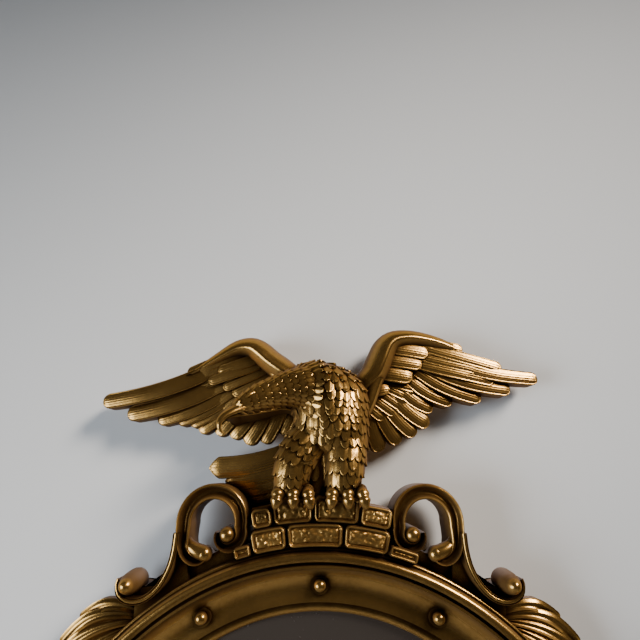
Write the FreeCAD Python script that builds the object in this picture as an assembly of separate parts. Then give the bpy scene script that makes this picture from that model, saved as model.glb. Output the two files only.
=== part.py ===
import FreeCAD, Part
import math
import os

# Driving dimensions in mm. X is to the right seen from the front, Z is up.
# A depth is a distance in front of the wall, so a depth d lies at Y = -d.
# Heights are measured from the ring's centre until the export.
HOOK_HEIGHT = 219.0
STAND_OFF = 6.0

# Round frame
RING_R = 203.0
RING_SIDE_DEPTH = 37.6
# Reed and half-round: inner radius, depth there, bulge
REEDS = ((200.5, 39.2, 1.0), (193.8, 43.0, 2.3))
GROOVE_R = 191.8
GROOVE_DEPTH = 40.0
FILLET_R = 190.0
FILLET_DEPTH = 44.0
COVE_MID = (181.5, 31.0)
COVE_IN_R = 169.0
COVE_IN_DEPTH = 29.0
BORE_R = 166.0
BOARD_R = 176.0
BOARD_RECESS_R = 176.5
BOARD_T = 3.0

# Slip, glass and spacer
SLIP_R = 158.5
SLIP_BACK = 19.0
SLIP_FRONT = 25.0
GLASS_R = 164.5
GLASS_T = 3.0
GLASS_RISE = 14.0
SPACER_R = 156.0
SPACER_OUT_R = 165.5

# Cove balls
BALL_COUNT = 13
BALL_CIRCLE_R = 177.5
BALL_R = 4.3
BALL_DEPTH = 33.5
COLLAR_R = 6.3
COLLAR_FRONT = 31.6

# Rock plinth: angles in degrees from the top, clockwise
COURSE_R = 219.0
PLINTH_R = 234.0
PLINTH_SPAN = (-16.8, 19.3)
PLINTH_TOP_SPAN = (-12.4, 13.0)
PLINTH_CORE_DEPTH = 36.0
BLOCK_DEPTH = 45.0
BLOCK_BORDER = 2.6
BLOCK_SINK = 1.6
BLOCK_JOINT = 0.6
LOWER_BLOCKS = (
    (-17.0, -13.55, 211.5), (-13.3, -6.55, 219.1), (-6.3, 4.45, 219.2),
    (4.7, 13.5, 219.1), (13.75, 19.5, 211.0))
UPPER_BLOCKS = ((-12.6, -8.75, 233.0), (-8.5, -1.35, 237.5), (-1.1, 7.2, 238.0), (7.45, 13.2, 234.0))

# C-scrolls and S-stems, drawn for the left side and mirrored
SCROLL_X = -77.5
SCROLL_Z = 219.5
SCROLL_R = 20.8
SCROLL_BAND = 5.2
SCROLL_START = 238.0
SCROLL_TURN = -10.0
EYE_X = -66.5
EYE_Z = 211.0
EYE_R = 5.6
EYE_END = -190.0
EYE_END_R = 6.6
SCROLL_BACK = 8.0
SCROLL_FRONT = 42.0
KNOB = (-87.0, 198.0, 7.0)
KNOB_DEPTH = 34.0
SCROLL_FOOT = ((-98, 200), (-78, 196), (-58, 206), (-62, 180), (-96, 165))
SCROLL_FOOT_DEPTH = 26.0
STEM_LINE = (
    (-102.6, 212), (-103.4, 200), (-106, 189), (-112, 178), (-121, 170.5),
    (-131, 169), (-139, 173.5), (-141, 181), (-136.5, 186.5))
STEM_WEB = (
    (-101, 206), (-104, 190), (-111, 178), (-121, 171.5), (-131, 170), (-131, 150), (-95, 170), (-96, 196))
STEM_WEB_DEPTH = 30.0
STEM_HALF = 2.4
ROLL_X = -133.0
ROLL_Z = 180.0
ROLL_BACK_R = 8.2
ROLL_FRONT_R = 6.0
ROLL_BALL_R = 5.4
ROLL_DEPTH = 46.0

# Eagle
BODY_SECTIONS = (
    (254, 5, 36, 20, 14), (266, 7, 36, 27, 20), (284, 9, 36, 28.5, 24), (304, 7, 36, 32, 25.5),
    (318, 3, 37, 33, 24), (329, -1, 38, 26, 18), (337, -4, 39, 12, 9))
NECK_SECTIONS = (
    (-2, 40, 314, 19), (-14, 47, 315.5, 17), (-23.5, 51.5, 314, 15), (-33, 56, 310.5, 13),
    (-43.5, 62, 306.2, 11.2), (-50.5, 66, 302.2, 9.6), (-57, 70, 298.5, 7.6))
BEAK_SECTIONS = (
    (-53, 68, 300.5, 8.2), (-60, 73, 296.5, 6.0), (-65.5, 77, 292.5, 4.6),
    (-68.5, 79, 287.5, 3.6), (-68, 79.5, 282, 2.4), (-65, 78.5, 278, 0.9))
# The carver leaves wood behind the head, back to the wing.
HEAD_BACKING = (
    (-12, 318), (-24, 323), (-33, 318.5), (-43.5, 313), (-50.5, 307.5), (-56, 302), (-62, 296),
    (-67, 290), (-64, 286.5), (-57, 291), (-48, 293.5), (-35, 297.5), (-26, 298.5), (-12, 296))
HEAD_BACKING_DEPTHS = (27.0, 55.0)
LEG_LEFT = (
    (-2, 36, 284, 15), (-13, 39, 270, 15), (-20.5, 40, 258, 14), (-22, 39, 246, 12), (-21, 38, 232, 8))
LEG_RIGHT = (
    (17, 36, 284, 18), (18.5, 39, 268, 16.5), (17.5, 40, 256, 15), (16, 39, 246, 12), (16, 38, 232, 8))
LEG_CORE = ((-2, 30, 272, 12), (-2.5, 28, 262, 11), (-3, 26, 250, 10), (-3, 25, 234, 10))
TOES_LEFT = (-30.5, -17.5, -5.5)
TOES_RIGHT = (8, 20, 32)
TOE_SECTIONS = (
    (38, 240, 4.2), (45.5, 241, 4.8), (50.5, 238, 4.6), (52, 233, 3.3), (49.5, 227.5, 0.9))
TOE_BAR = (45.5, 242, 3.1)

# Wings: leading edge and feather tips, from the body outward
ARM_LEFT = ((-22, 324), (-38, 340), (-55, 354), (-76, 353), (-104, 338))
TIPS_LEFT = (
    (-31, 284), (-47, 276), (-61, 274), (-74, 277), (-86, 281),
    (-98, 286), (-112, 290), (-129, 293), (-152, 298), (-175, 307))
ARM_RIGHT = ((39, 316), (48, 338), (59, 359), (86, 358), (116, 348))
TIPS_RIGHT = (
    (47, 266), (61, 272), (74, 280), (84, 289), (91, 299),
    (106, 305), (129, 307), (153, 312), (176, 322))
ARM_R = 9.5
ARM_END_R = 3.5
WING_ROOT_DEPTH = 36.0
WING_TIP_DEPTH = 19.0
WING_BACK = 7.0
WING_BOARD_DEPTH = 21.0
WING_BOARD_SHARE = 0.72
FEATHER_HALF = 8.2
FEATHER_RISE = 4.0
FEATHER_STEP = 0.6
ROOT_STEP = 0.43
FEATHER_SWAY = 0.06
COVERT_LIFT = 5.0
COVERT_ROWS = ((0.58, 6, 7.8, -1.4), (0.31, 5, 9.2, 1.1))
TAIL_TOP = (-18, 270)
TAIL_FOOT = (-14, 246)
TAIL_TIPS = ((-87, 259), (-83, 251.5), (-69, 243), (-58, 234), (-50, 227))
TAIL_HALF = 6.6
TAIL_SAG = 4.0
TAIL_DEPTH = 17.0

# Acanthus leaves: where each springs from the ring, its middle lobe and its fan, in degrees
SPRAY_ANGLE = 41.0
SPRAY_LEAN = 74.0
SPRAY_LOBES = ((-32, 40), (-18, 54), (-4, 68), (10, 80), (24, 88))
APRON_LOBES = ((-54, 44), (-36, 58), (-18, 70), (0, 78), (18, 70), (36, 58), (54, 44))
APRON_SIDE_ANGLE = 157.0
APRON_SIDE_LEAN = -42.0
APRON_SIDE_LOBES = ((-34, 46), (-16, 58), (2, 62), (20, 52), (38, 40))
LOBE_HALF = 8.5
LOBE_ROOT_DEPTH = 30.0
LOBE_TIP_DEPTH = 20.0
LOBE_RISE = 6.0
LEAF_BACK = 8.0

# Back hardware
BUTTON_R = 185.0
BUTTON_ANGLES = (45, 135, 225, 315)
BUTTON_LENGTH = 22.0
BUTTON_HALF = 6.0
BUTTON_T = 2.0
BUTTON_GAP = 0.3
SCREW_R = 2.0
SCREW_BORE_R = 2.08
SCREW_HEAD_R = 4.0
SCREW_HEAD_T = 1.6
SCREW_DEPTH = 14.0
STRAP_HALF = 7.0
STRAP_T = 1.5
STRAP_BOTTOM = 178.5
PIVOT_Z = 205.0
PIVOT_DEPTH = 3.0
WIRE_R = 1.5
KNUCKLE_R = 2.9
KNUCKLE_BORE_R = 1.58
D_HALF = 11.5
D_LEG = 4.0
D_LEAN = 4.5
STRAP_SCREW_Z = (182.5, 197.0)
BUMPER_R = 7.0
BUMPER_CIRCLE_R = 190.0
BUMPER_ANGLE = 150.0

# Dowels: radius and half length
DOWEL_R = 4.0
DOWEL_HALF = 11.0
DOWEL_DEPTH = 20.0
SMALL_DOWEL_R = 2.5
PLINTH_DOWEL_ANGLES = (-7.0, 9.0)
SCROLL_DOWEL_ANGLE = 24.6
STEM_DOWEL_ANGLE = 34.0
LEG_DOWEL_SPAN = (224.0, 250.0)
LEG_DOWEL_DEPTH = 38.0
WING_DOWEL_LEFT = ((-20, 34, 310), (-38, 34, 333))
WING_DOWEL_RIGHT = ((31, 35, 297), (44, 35, 322))

AXIS = FreeCAD.Vector(0, 1, 0)
FORWARD = FreeCAD.Vector(0, -1, 0)
WORLD_AXES = (FreeCAD.Vector(1, 0, 0), AXIS, FreeCAD.Vector(0, 0, 1))
CENTRE = FreeCAD.Vector(0, 0, 0)
made = []


def at(x, depth, z):
    return FreeCAD.Vector(x, -depth, z)


def polar(angle, radius, depth=0.0):
    turn = math.radians(angle)
    return at(radius * math.sin(turn), depth, radius * math.cos(turn))


def export(node, shape):
    placed = shape.copy()
    placed.translate(FreeCAD.Vector(0, 0, -HOOK_HEIGHT))
    placed.exportStep("parts/" + node + ".step")
    made.append(node)


def mirrored(shape):
    return shape.mirror(CENTRE, FreeCAD.Vector(1, 0, 0))


def lines(points):
    return [Part.makeLine(a, b) for a, b in zip(points, points[1:])]


def arc(a, b, c):
    return Part.Arc(a, b, c).toShape()


def turned(edges):
    return Part.Face(Part.Wire(edges)).revolve(CENTRE, AXIS, 360)


def disc(radius, back, front, x=0.0, z=0.0):
    return Part.makeCylinder(radius, front - back, at(x, back, z), FORWARD)


def hoop(inner, outer, back, front):
    return disc(outer, back, front).cut(disc(inner, back, front))


def prism(points, back, front):
    corners = [at(x, back, z) for x, z in points]
    face = Part.Face(Part.makePolygon(corners + corners[:1]))
    return face.extrude(FreeCAD.Vector(0, back - front, 0))


def smooth(points, count):
    curve = Part.BSplineCurve()
    curve.interpolate([at(x, 0, z) for x, z in points])
    return [(p.x, p.z) for p in curve.toShape().discretize(Number=count)]


def headings(points):
    ends = [points[0]] + list(points) + [points[-1]]
    result = []
    for a, b in zip(ends, ends[2:]):
        size = math.hypot(b[0] - a[0], b[1] - a[1])
        result.append(((b[0] - a[0]) / size, (b[1] - a[1]) / size))
    return result


def blend(a, b, t):
    return a + (b - a) * t


def tube(sections):
    # Circles square to the path, each started on the same side, so that the loft doesn't twist.
    centres = [at(x, depth, z) for x, depth, z, radius in sections]
    ends = [centres[0]] + centres + [centres[-1]]
    ways = [(b - a).normalize() for a, b in zip(ends, ends[2:])]
    steady = min(WORLD_AXES, key=lambda axis: max(abs(way.dot(axis)) for way in ways))
    rings = []
    for centre, way, section in zip(centres, ways, sections):
        side = way.cross(steady).normalize() * section[3]
        circle = Part.Circle(centre + side, centre + way.cross(side), centre - side)
        rings.append(Part.Wire(circle.toShape()))
    return Part.makeLoft(rings, True, False)


def feather(base, tip, half, base_depth, tip_depth, rise, sway=0.0):
    # A blade with a flat back and a rounded front, bowed sideways by its sway.
    dx, dz = tip[0] - base[0], tip[1] - base[1]
    length = math.hypot(dx, dz)
    ux, uz = dx / length, dz / length
    rings = []
    for t, share in ((0.0, 0.5), (0.35, 0.95), (0.72, 1.0), (0.93, 0.68), (1.0, 0.18)):
        bow = sway * math.sin(math.pi * t)
        x = base[0] + dx * t - uz * bow
        z = base[1] + dz * t + ux * bow
        back = blend(base_depth, tip_depth, t) - rise
        width = half * share
        left = at(x - uz * width, back, z + ux * width)
        right = at(x + uz * width, back, z - ux * width)
        crest = at(x, back + rise * (0.45 + 0.55 * share), z)
        rings.append(Part.Wire([Part.makeLine(left, right), arc(right, crest, left)]))
    return Part.makeLoft(rings, True, False)


def joined(shapes):
    return shapes[0].multiFuse(shapes[1:])


def main_solid(shape):
    return max(shape.Solids, key=lambda solid: solid.Volume)


# Round frame: the section is drawn at X = radius and turned about the glass's axis.
def at_r(radius, depth):
    return at(radius, depth, 0)


board_seat = STAND_OFF + BOARD_T
outline = lines([
    at_r(BORE_R, COVE_IN_DEPTH), at_r(BORE_R, board_seat), at_r(BOARD_RECESS_R, board_seat),
    at_r(BOARD_RECESS_R, STAND_OFF), at_r(RING_R, STAND_OFF), at_r(RING_R, RING_SIDE_DEPTH)])
outer, low = RING_R, RING_SIDE_DEPTH
for inner, high, bulge in REEDS:
    middle = at_r((outer + inner) / 2, (low + high) / 2 + bulge)
    outline.append(arc(at_r(outer, low), middle, at_r(inner, high)))
    outer, low = inner, high
outline += lines([
    at_r(outer, low), at_r(outer, GROOVE_DEPTH), at_r(GROOVE_R, GROOVE_DEPTH),
    at_r(GROOVE_R, FILLET_DEPTH), at_r(FILLET_R, FILLET_DEPTH)])
outline.append(arc(at_r(FILLET_R, FILLET_DEPTH), at_r(*COVE_MID), at_r(COVE_IN_R, COVE_IN_DEPTH)))
outline += lines([at_r(COVE_IN_R, COVE_IN_DEPTH), at_r(BORE_R, COVE_IN_DEPTH)])
ring = turned(outline)

# Slip: a small hollow bead with a flat back that the glass rests on.
slip = turned(lines([
    at_r(BORE_R, SLIP_FRONT), at_r(BORE_R, SLIP_BACK), at_r(SLIP_R, SLIP_BACK), at_r(SLIP_R, SLIP_BACK + 1)])
    + [arc(at_r(SLIP_R, SLIP_BACK + 1), at_r(SLIP_R + 1.4, SLIP_FRONT - 1.4), at_r(BORE_R - 2, SLIP_FRONT))]
    + lines([at_r(BORE_R - 2, SLIP_FRONT), at_r(BORE_R, SLIP_FRONT)]))

# Glass: a spherical cap of even thickness, with its edge against the slip's back.
front_edge = SLIP_BACK - (GLASS_R - SLIP_R) * 2 * GLASS_RISE / GLASS_R
crown = front_edge + GLASS_RISE
glass_back = front_edge - GLASS_T
dome_r = (GLASS_R ** 2 + GLASS_RISE ** 2) / (2 * GLASS_RISE)
dome = Part.makeSphere(dome_r, at(0, crown - dome_r, 0))
hollow = Part.makeSphere(dome_r, at(0, crown - GLASS_T - dome_r, 0))
glass = disc(GLASS_R, glass_back, crown + 1).common(dome).cut(hollow)
spacer = hoop(SPACER_R, SPACER_OUT_R, board_seat, glass_back)
board = disc(BOARD_R, STAND_OFF, board_seat)

# Cove balls: one ball on its collar, seated in the cove, then repeated round the circle.
ball = Part.makeSphere(BALL_R, at(0, BALL_DEPTH, BALL_CIRCLE_R))
ball = ball.fuse(disc(COLLAR_R, COVE_IN_DEPTH - 4, COLLAR_FRONT, 0, BALL_CIRCLE_R))
ball = main_solid(ball.cut(ring))
balls = []
for k in range(BALL_COUNT):
    one = ball.copy()
    one.rotate(CENTRE, AXIS, k * 360.0 / BALL_COUNT)
    balls.append(one)


# Rock plinth: blocks are sectors of rings about the frame's centre.
def sector(span, inner, outer, back, front):
    middle = sum(span) / 2
    a, b = span
    edges = [
        arc(polar(a, inner, back), polar(middle, inner, back), polar(b, inner, back)),
        Part.makeLine(polar(b, inner, back), polar(b, outer, back)),
        arc(polar(b, outer, back), polar(middle, outer, back), polar(a, outer, back)),
        Part.makeLine(polar(a, outer, back), polar(a, inner, back))]
    return Part.Face(Part.Wire(edges)).extrude(FreeCAD.Vector(0, back - front, 0))


def block(span, inner, outer):
    border = math.degrees(BLOCK_BORDER / outer)
    body = sector(span, inner, outer, PLINTH_CORE_DEPTH - 1, BLOCK_DEPTH)
    inside = (span[0] + border, span[1] - border)
    low, high = inner + BLOCK_BORDER, outer - BLOCK_BORDER
    pocket = sector(inside, low, high, BLOCK_DEPTH - BLOCK_SINK, BLOCK_DEPTH + 1)
    return body.cut(pocket)


shoulder_r = min(top for a, b, top in LOWER_BLOCKS) + 1
stones = [
    sector(PLINTH_SPAN, RING_R, shoulder_r, STAND_OFF, PLINTH_CORE_DEPTH),
    sector(PLINTH_TOP_SPAN, RING_R + 2, PLINTH_R, STAND_OFF, PLINTH_CORE_DEPTH)]
stones += [block((a, b), RING_R, top) for a, b, top in LOWER_BLOCKS]
stones += [block((a, b), COURSE_R + BLOCK_JOINT, top) for a, b, top in UPPER_BLOCKS]
plinth = main_solid(joined(stones).cut(ring))


# Scrolls: a channelled band swept round a spiral that ends at a ball eye.
def channel(x, z, heading, half, back, front):
    nx, nz = -heading[1], heading[0]

    def on(share, depth):
        return at(x + nx * half * share, depth, z + nz * half * share)

    rim = front - half * 0.35
    return Part.Wire(
        lines([on(-1, rim), on(-1, back), on(1, back), on(1, rim), on(0.7, front)])
        + [arc(on(0.7, front), on(0, front - half * 0.8), on(-0.7, front))]
        + lines([on(-0.7, front), on(-1, rim)]))


spiral = []
for k in range(11):
    turn = math.radians(blend(SCROLL_START, SCROLL_TURN, k / 10))
    spiral.append((SCROLL_X + SCROLL_R * math.cos(turn), SCROLL_Z + SCROLL_R * math.sin(turn)))
start_turn = math.degrees(math.atan2(spiral[-1][1] - EYE_Z, spiral[-1][0] - EYE_X))
start_r = math.hypot(spiral[-1][1] - EYE_Z, spiral[-1][0] - EYE_X)
for k in range(1, 8):
    turn = math.radians(blend(start_turn, EYE_END, k / 7))
    radius = blend(start_r, EYE_END_R, k / 7)
    spiral.append((EYE_X + radius * math.cos(turn), EYE_Z + radius * math.sin(turn)))
rings = []
for k, (point, heading) in enumerate(zip(spiral, headings(spiral))):
    half = SCROLL_BAND if k < 8 else blend(SCROLL_BAND, 2.2, (k - 8) / (len(spiral) - 9))
    rings.append(channel(point[0], point[1], heading, half, SCROLL_BACK, SCROLL_FRONT))
band = Part.makeLoft(rings, True, False)
knob_x, knob_z, knob_r = KNOB
scroll_foot = prism(SCROLL_FOOT, SCROLL_BACK, SCROLL_FOOT_DEPTH)
eye = disc(EYE_R, SCROLL_BACK, SCROLL_FRONT - 4, EYE_X, EYE_Z)
eye_ball = Part.makeSphere(EYE_R, at(EYE_X, SCROLL_FRONT - 3, EYE_Z))
knob = Part.makeSphere(knob_r, at(knob_x, KNOB_DEPTH, knob_z))
knob_root = disc(knob_r - 1, SCROLL_BACK, KNOB_DEPTH, knob_x, knob_z)
ring_body = disc(RING_R, 0, 60)
scroll = joined([band, eye, eye_ball, knob, knob_root, scroll_foot]).cut(ring_body)
scroll_left = main_solid(scroll.cut(plinth))
scroll_right = main_solid(mirrored(scroll).cut(plinth))

stem_path = smooth(STEM_LINE, 14)
rings = []
for point, heading in zip(stem_path, headings(stem_path)):
    rings.append(channel(point[0], point[1], heading, STEM_HALF, SCROLL_BACK, SCROLL_FRONT + 1))
stem = Part.makeLoft(rings, True, False)
roll_foot = at(ROLL_X, SCROLL_BACK, ROLL_Z)
roll = Part.makeCone(ROLL_BACK_R, ROLL_FRONT_R, ROLL_DEPTH - SCROLL_BACK, roll_foot, FORWARD)
roll_ball = Part.makeSphere(ROLL_BALL_R, at(ROLL_X, ROLL_DEPTH, ROLL_Z))
web = prism(STEM_WEB, SCROLL_BACK, STEM_WEB_DEPTH)
stem_left = main_solid(joined([stem, roll, roll_ball, web]).cut(ring_body).cut(scroll))
stem_right = mirrored(stem_left)


# Leaves: fluted lobes in a fan, rooted in a low boss on the ring's edge.
def leaf(angle, lean, lobes):
    root = polar(angle, RING_R - 4)
    shapes = []
    for turn, length in lobes:
        out = math.radians(angle + lean + turn)
        tip = (root.x + length * math.sin(out), root.z + length * math.cos(out))
        sway = -0.1 * length * math.sin(math.radians(turn))
        shapes.append(feather(
            (root.x, root.z), tip, LOBE_HALF, LOBE_ROOT_DEPTH, LOBE_TIP_DEPTH, LOBE_RISE, sway))
        middle = (blend(root.x, tip[0], 0.62), blend(root.z, tip[1], 0.62))
        shapes.append(feather(
            (root.x, root.z), middle, LOBE_HALF, LOBE_ROOT_DEPTH - 6, LEAF_BACK + 12, 12, sway))
    boss = tube(((root.x, LEAF_BACK, root.z, 17), (root.x, 20, root.z, 16), (root.x, 31, root.z, 9)))
    return main_solid(joined(shapes + [boss]).cut(ring_body))


spray_right = leaf(SPRAY_ANGLE, SPRAY_LEAN, SPRAY_LOBES)
spray_left = mirrored(spray_right)
apron_centre = leaf(180.0, 0.0, APRON_LOBES)
apron_right = leaf(APRON_SIDE_ANGLE, APRON_SIDE_LEAN, APRON_SIDE_LOBES)
apron_right = main_solid(apron_right.cut(apron_centre))
apron_left = mirrored(apron_right)
spray_left = main_solid(spray_left.cut(stem_left))
spray_right = mirrored(spray_left)


# Eagle: lofted trunk and legs, then the head, wings, tail and talons seated against them.
def oval(z, x, depth, half_x, half_depth):
    middle = at(x, depth, z)
    curve = Part.Ellipse(middle + at(half_x, 0, 0), middle + at(0, half_depth, 0), middle)
    return Part.Wire(curve.toShape())


trunk = Part.makeLoft([oval(*section) for section in BODY_SECTIONS], True, False)
body = joined([trunk, tube(LEG_LEFT), tube(LEG_RIGHT), tube(LEG_CORE)]).cut(plinth)
body = main_solid(body)
backing = prism(HEAD_BACKING, *HEAD_BACKING_DEPTHS)
head = main_solid(joined([tube(NECK_SECTIONS), tube(BEAK_SECTIONS), backing]).cut(body))


def wing(arm, tips):
    roots = smooth(arm, len(tips))
    share = WING_BOARD_SHARE
    inner = [(blend(a[0], b[0], share), blend(a[1], b[1], share)) for a, b in zip(roots, tips)]
    shapes = [prism(roots + inner[::-1], WING_BACK, WING_BOARD_DEPTH)]
    for k, (root, tip) in enumerate(zip(roots, tips)):
        sway = math.copysign(FEATHER_SWAY * math.hypot(tip[0] - root[0], tip[1] - root[1]), tip[0])
        tip_depth = WING_TIP_DEPTH + FEATHER_STEP * k
        shapes.append(feather(
            root, tip, FEATHER_HALF, WING_ROOT_DEPTH - 6 + ROOT_STEP * k, tip_depth, FEATHER_RISE, sway))
    for share, count, half, lift in COVERT_ROWS:
        row_roots = smooth(arm, count + 2)[1:-1]
        row_tips = smooth(tips, count + 2)[1:-1]
        for k, (root, tip) in enumerate(zip(row_roots, row_tips)):
            end = (blend(root[0], tip[0], share), blend(root[1], tip[1], share))
            depth = WING_ROOT_DEPTH + lift + ROOT_STEP * k
            end_depth = blend(depth, WING_TIP_DEPTH, share) + COVERT_LIFT
            shapes.append(feather(root, end, half, depth, end_depth, FEATHER_RISE + 4))
    line = smooth(arm, 7)
    sections = []
    for k, (x, z) in enumerate(line):
        share = k / (len(line) - 1)
        depth = blend(WING_ROOT_DEPTH, WING_TIP_DEPTH + 8, share)
        sections.append((x, depth, z, blend(ARM_R, ARM_END_R, share)))
    return joined(shapes + [tube(sections)])


wing_left = main_solid(wing(ARM_LEFT, TIPS_LEFT).cut(body).cut(head))
wing_right = main_solid(wing(ARM_RIGHT, TIPS_RIGHT).cut(body))
quills = []
for k, tip in enumerate(TAIL_TIPS):
    share = k / (len(TAIL_TIPS) - 1)
    root = (blend(TAIL_TOP[0], TAIL_FOOT[0], share), blend(TAIL_TOP[1], TAIL_FOOT[1], share))
    quills.append(feather(root, tip, TAIL_HALF, TAIL_DEPTH + 6, TAIL_DEPTH, FEATHER_RISE + 3, TAIL_SAG))
tail = joined(quills)
tail = main_solid(tail.cut(body).cut(wing_left).cut(scroll_left).cut(plinth))


def talons(leg, toes):
    ankle = leg[-1][0]
    shapes = [tube([(x, *TOE_BAR) for x in toes])]
    for toe in toes:
        sections = []
        for k, (depth, z, radius) in enumerate(TOE_SECTIONS):
            sections.append((blend(ankle, toe, min(1, 0.4 + 0.6 * k)), depth, z, radius))
        shapes.append(tube(sections))
    return main_solid(joined(shapes).cut(tube(leg)).cut(tube(LEG_CORE)).cut(plinth))


talons_left = talons(LEG_LEFT, TOES_LEFT)
talons_right = talons(LEG_RIGHT, TOES_RIGHT)


# Dowels: each group is made once and cut from the pieces that it joins.
def radial_dowel(angle):
    heading = polar(angle, 1)
    return Part.makeCylinder(DOWEL_R, 2 * DOWEL_HALF, polar(angle, RING_R - DOWEL_HALF, DOWEL_DEPTH), heading)


def straight_dowel(start, end):
    return Part.makeCylinder(SMALL_DOWEL_R, (end - start).Length, start, end - start)


plinth_dowels = [radial_dowel(angle) for angle in PLINTH_DOWEL_ANGLES]
scroll_dowels = [
    radial_dowel(side * angle) for side in (-1, 1) for angle in (SCROLL_DOWEL_ANGLE, STEM_DOWEL_ANGLE)]
leaf_dowels = [radial_dowel(side * SPRAY_ANGLE) for side in (-1, 1)]
apron_dowels = [radial_dowel(angle) for angle in (180, APRON_SIDE_ANGLE, -APRON_SIDE_ANGLE)]
foot_x = (LEG_LEFT[-1][0], LEG_RIGHT[-1][0])
eagle_dowels = [
    straight_dowel(*[at(x, LEG_DOWEL_DEPTH, z) for z in LEG_DOWEL_SPAN]) for x in foot_x]
wing_dowels = [
    straight_dowel(*[at(*point) for point in ends]) for ends in (WING_DOWEL_LEFT, WING_DOWEL_RIGHT)]


def bored(shape, dowels):
    return shape.cut(Part.makeCompound(dowels))


ring = bored(ring, plinth_dowels + scroll_dowels + leaf_dowels + apron_dowels)
plinth = bored(plinth, plinth_dowels + eagle_dowels)
body = bored(body, eagle_dowels + wing_dowels)
head = bored(head, wing_dowels)
wing_left = bored(wing_left, wing_dowels)
wing_right = bored(wing_right, wing_dowels)
scroll_left = bored(scroll_left, scroll_dowels)
scroll_right = bored(scroll_right, scroll_dowels)
stem_left = bored(stem_left, scroll_dowels + leaf_dowels)
stem_right = bored(stem_right, scroll_dowels + leaf_dowels)
spray_left = bored(spray_left, leaf_dowels)
spray_right = bored(spray_right, leaf_dowels)
apron_centre = bored(apron_centre, apron_dowels)
apron_left = bored(apron_left, apron_dowels)
apron_right = bored(apron_right, apron_dowels)


# Back hardware: screws, turn buttons, strap hanger with its ring, bumpers.
def screw(x, z, seat):
    shank = disc(SCREW_R, seat, SCREW_DEPTH, x, z)
    return shank.fuse(disc(SCREW_HEAD_R, seat - SCREW_HEAD_T, seat, x, z))


buttons = []
button_screws = []
button_front = STAND_OFF - BUTTON_GAP
button_back = button_front - BUTTON_T
for angle in BUTTON_ANGLES:
    pivot = polar(angle, BUTTON_R)
    end = polar(angle, BUTTON_R - BUTTON_LENGTH)
    side = polar(angle + 90, BUTTON_HALF)
    plate = disc(BUTTON_HALF, button_back, button_front, pivot.x, pivot.z)
    plate = plate.fuse(disc(BUTTON_HALF, button_back, button_front, end.x, end.z))
    corners = [pivot + side, end + side, end - side, pivot - side]
    plate = plate.fuse(prism([(p.x, p.z) for p in corners], button_back, button_front)).removeSplitter()
    buttons.append(plate.cut(disc(SCREW_BORE_R, button_back, button_front, pivot.x, pivot.z)))
    button_screws.append(screw(pivot.x, pivot.z, button_back - BUTTON_GAP))

strap_back = STAND_OFF - STRAP_T
strap = prism(
    ((-STRAP_HALF, STRAP_BOTTOM), (STRAP_HALF, STRAP_BOTTOM), (STRAP_HALF, PIVOT_Z), (-STRAP_HALF, PIVOT_Z)),
    strap_back, STAND_OFF)
across = FreeCAD.Vector(1, 0, 0)
knuckle_end = at(-STRAP_HALF, PIVOT_DEPTH, PIVOT_Z)
strap = strap.fuse(Part.makeCylinder(KNUCKLE_R, 2 * STRAP_HALF, knuckle_end, across)).removeSplitter()
strap = strap.cut(Part.makeCylinder(KNUCKLE_BORE_R, 2 * STRAP_HALF, knuckle_end, across))
strap_screws = [screw(0, z, strap_back) for z in STRAP_SCREW_Z]

bow_z = PIVOT_Z + D_LEG
bow = Part.makeTorus(D_HALF, WIRE_R, at(0, PIVOT_DEPTH, bow_z), FORWARD, 0, 360, 360)
upper = prism(((-20, bow_z), (20, bow_z), (20, bow_z + 20), (-20, bow_z + 20)), -5, 10)
bow = bow.common(upper)
ring_ends = [at(x, PIVOT_DEPTH, PIVOT_Z) for x in (-D_HALF, D_HALF)]
legs = [Part.makeCylinder(WIRE_R, D_LEG, end, FreeCAD.Vector(0, 0, 1)) for end in ring_ends]
corners = [Part.makeSphere(WIRE_R, end) for end in ring_ends]
bar = Part.makeCylinder(WIRE_R, 2 * D_HALF, at(-D_HALF, PIVOT_DEPTH, PIVOT_Z), across)
d_ring = joined([bow, bar] + legs + corners)
d_ring.rotate(at(0, PIVOT_DEPTH, PIVOT_Z), across, D_LEAN)

bumpers = []
for side in (-1, 1):
    spot = polar(side * BUMPER_ANGLE, BUMPER_CIRCLE_R)
    bumpers.append(disc(BUMPER_R, 0, STAND_OFF, spot.x, spot.z))

ring = bored(ring, button_screws + strap_screws)
strap = bored(strap, strap_screws)

os.makedirs("parts", exist_ok=True)
for node, shape in (
    ("ring_moulding", ring), ("sight_slip", slip), ("convex_glass", glass), ("glass_spacer", spacer),
    ("back_board", board), ("rock_plinth", plinth), ("eagle_body", body), ("eagle_head", head),
    ("wing_left", wing_left), ("wing_right", wing_right), ("tail_fan", tail),
    ("talons_left", talons_left), ("talons_right", talons_right),
    ("scroll_left", scroll_left), ("scroll_right", scroll_right),
    ("stem_left", stem_left), ("stem_right", stem_right),
    ("leaf_spray_left", spray_left), ("leaf_spray_right", spray_right),
    ("apron_leaf_centre", apron_centre), ("apron_leaf_left", apron_left), ("apron_leaf_right", apron_right),
    ("plinth_dowels", Part.makeCompound(plinth_dowels)), ("scroll_dowels", Part.makeCompound(scroll_dowels)),
    ("leaf_dowels", Part.makeCompound(leaf_dowels)), ("apron_dowels", Part.makeCompound(apron_dowels)),
    ("eagle_dowels", Part.makeCompound(eagle_dowels)), ("wing_dowels", Part.makeCompound(wing_dowels)),
    ("turn_button_screws", Part.makeCompound(button_screws)), ("hanger_plate", strap),
    ("hanger_ring", d_ring), ("hanger_screws", Part.makeCompound(strap_screws)),
    ("bumper_left", bumpers[0]), ("bumper_right", bumpers[1]),
):
    export(node, shape)
for k, one in enumerate(balls):
    export("cove_ball_%02d" % (k + 1), one)
for k, one in enumerate(buttons):
    export("turn_button_%d" % (k + 1), one)
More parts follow.
